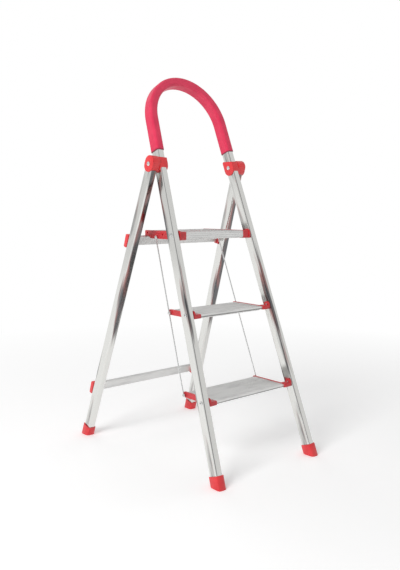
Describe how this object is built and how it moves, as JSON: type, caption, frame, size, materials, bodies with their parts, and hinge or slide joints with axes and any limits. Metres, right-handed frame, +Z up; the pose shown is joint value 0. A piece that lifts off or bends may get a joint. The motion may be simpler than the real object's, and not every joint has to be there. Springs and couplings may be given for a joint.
{
  "type": "folding step ladder",
  "caption": "Folding household step ladder with a padded handle hoop, ribbed treads on tie rods and a hinged rear frame.",
  "frame": {"origin": "on the floor, in the middle of the four feet", "axes": "+Z up, -Y is the side that is climbed, +X is the right of a person climbing it"},
  "size_m": [0.4678, 0.6422, 1.1313],
  "materials": {
    "polished_tube": "polished rounded rectangular tube with soft streaks along it",
    "satin_aluminium": "satin extrusion with fine ribs along its length",
    "bright_steel": "bright zinc plated wire, rivets and bolts",
    "red_plastic": "moulded, semi-gloss",
    "grey_plastic": "matt",
    "foam_grip": "soft closed-cell foam, satin skin"
  },
  "bodies": {
    "front_frame": {"front_stile_left": "polished_tube", "front_stile_right": "polished_tube", "front_foot_left": "red_plastic", "front_foot_right": "red_plastic", "hinge_sleeve_left": "red_plastic", "hinge_sleeve_right": "red_plastic", "handle_spigot_left": "grey_plastic", "handle_spigot_right": "grey_plastic", "hinge_rivet_left": "bright_steel", "hinge_rivet_right": "bright_steel", "platform_bolt_left": "bright_steel", "platform_bolt_right": "bright_steel", "middle_tread_bolt_left": "bright_steel", "middle_tread_bolt_right": "bright_steel", "bottom_tread_bolt_left": "bright_steel", "bottom_tread_bolt_right": "bright_steel", "handle_hoop": "polished_tube", "handle_grip": "foam_grip"},
    "rear_frame": {"rear_leg_left": "polished_tube", "rear_leg_right": "polished_tube", "rear_foot_left": "red_plastic", "rear_foot_right": "red_plastic", "leg_cap_left": "red_plastic", "leg_cap_right": "red_plastic", "upper_bar_clamp_left": "red_plastic", "upper_bar_clamp_right": "red_plastic", "lower_bar_clamp_left": "red_plastic", "lower_bar_clamp_right": "red_plastic", "upper_clamp_rivet_left": "bright_steel", "upper_clamp_rivet_right": "bright_steel", "lower_clamp_rivet_left": "bright_steel", "lower_clamp_rivet_right": "bright_steel", "upper_cross_bar": "satin_aluminium", "lower_cross_bar": "satin_aluminium"},
    "platform": {"platform_deck": "satin_aluminium", "platform_bracket_left": "red_plastic", "platform_bracket_right": "red_plastic", "platform_rod_pin_left": "bright_steel", "platform_rod_pin_right": "bright_steel"},
    "middle_tread": {"middle_tread_deck": "satin_aluminium", "middle_tread_cap_left": "red_plastic", "middle_tread_cap_right": "red_plastic", "middle_tread_rod_pin_left": "bright_steel", "middle_tread_rod_pin_right": "bright_steel"},
    "bottom_tread": {"bottom_tread_deck": "satin_aluminium", "bottom_tread_cap_left": "red_plastic", "bottom_tread_cap_right": "red_plastic", "bottom_tread_rod_pin_left": "bright_steel", "bottom_tread_rod_pin_right": "bright_steel"},
    "tie_rod_left": {"tie_rod_left": "bright_steel"},
    "tie_rod_right": {"tie_rod_right": "bright_steel"}
  },
  "joints": [
    {"name": "rear_fold", "type": "hinge", "parent": "front_frame", "child": "rear_frame", "pos_m": [0, 0.00425, 0.861], "axis": [1, 0, 0], "range_deg": [-37, 0]},
    {"name": "platform_lift", "type": "hinge", "parent": "front_frame", "child": "platform", "pos_m": [0, -0.07258, 0.661], "axis": [1, 0, 0], "range_deg": [0, 63.7]},
    {"name": "middle_tread_lift", "type": "hinge", "parent": "front_frame", "child": "middle_tread", "pos_m": [0, -0.14978, 0.443], "axis": [1, 0, 0], "range_deg": [0, 63.7]},
    {"name": "bottom_tread_lift", "type": "hinge", "parent": "front_frame", "child": "bottom_tread", "pos_m": [0, -0.23051, 0.215], "axis": [1, 0, 0], "range_deg": [0, 63.7]},
    {"name": "tie_rod_left_pivot", "type": "hinge", "parent": "platform", "child": "tie_rod_left", "pos_m": [-0.12488, 0.04842, 0.649], "axis": [1, 0, 0], "range_deg": [-63.7, 0]},
    {"name": "tie_rod_right_pivot", "type": "hinge", "parent": "platform", "child": "tie_rod_right", "pos_m": [0.12488, 0.04842, 0.649], "axis": [1, 0, 0], "range_deg": [-63.7, 0]}
  ],
  "couplings": [
    {"joint": "platform_lift", "follows": "rear_fold", "ratio": -1.72},
    {"joint": "middle_tread_lift", "follows": "rear_fold", "ratio": -1.72},
    {"joint": "bottom_tread_lift", "follows": "rear_fold", "ratio": -1.72},
    {"joint": "tie_rod_left_pivot", "follows": "rear_fold", "ratio": 1.72},
    {"joint": "tie_rod_right_pivot", "follows": "rear_fold", "ratio": 1.72}
  ]
}
